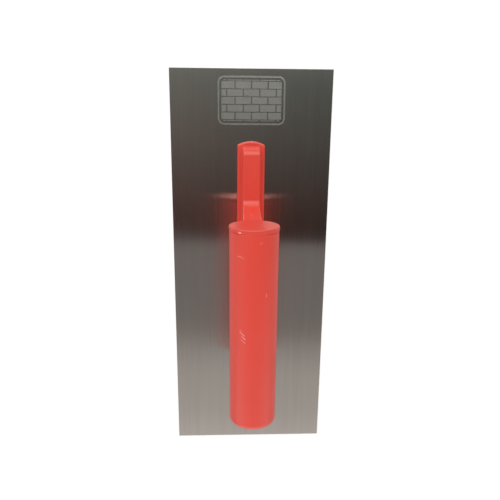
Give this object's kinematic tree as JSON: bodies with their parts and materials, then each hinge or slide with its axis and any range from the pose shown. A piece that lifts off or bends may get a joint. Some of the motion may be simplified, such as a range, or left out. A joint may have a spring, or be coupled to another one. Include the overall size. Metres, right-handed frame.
{
  "type": "finishing trowel",
  "caption": "Rectangular brushed steel blade under a moulded plastic handle with a long foot, a leaning neck and a round capped grip.",
  "frame": {"origin": "centre of the blade's flat working face, which is the bottom of the whole part", "axes": "+Y towards the toe, the end that the neck is nearer to; +Z from the blade up to the grip; +X to the right of someone looking towards the toe"},
  "size_m": [0.111, 0.28, 0.0737],
  "materials": {
    "blade_steel": "brushed",
    "handle_plastic": "satin",
    "screw_steel": "satin"
  },
  "bodies": {
    "root": {"blade": "blade_steel", "handle_body": "handle_plastic", "grip_front_cap": "handle_plastic", "blade_screw_1": "screw_steel", "blade_screw_2": "screw_steel", "blade_screw_3": "screw_steel", "blade_screw_4": "screw_steel", "blade_screw_5": "screw_steel", "blade_screw_6": "screw_steel"}
  },
  "joints": []
}
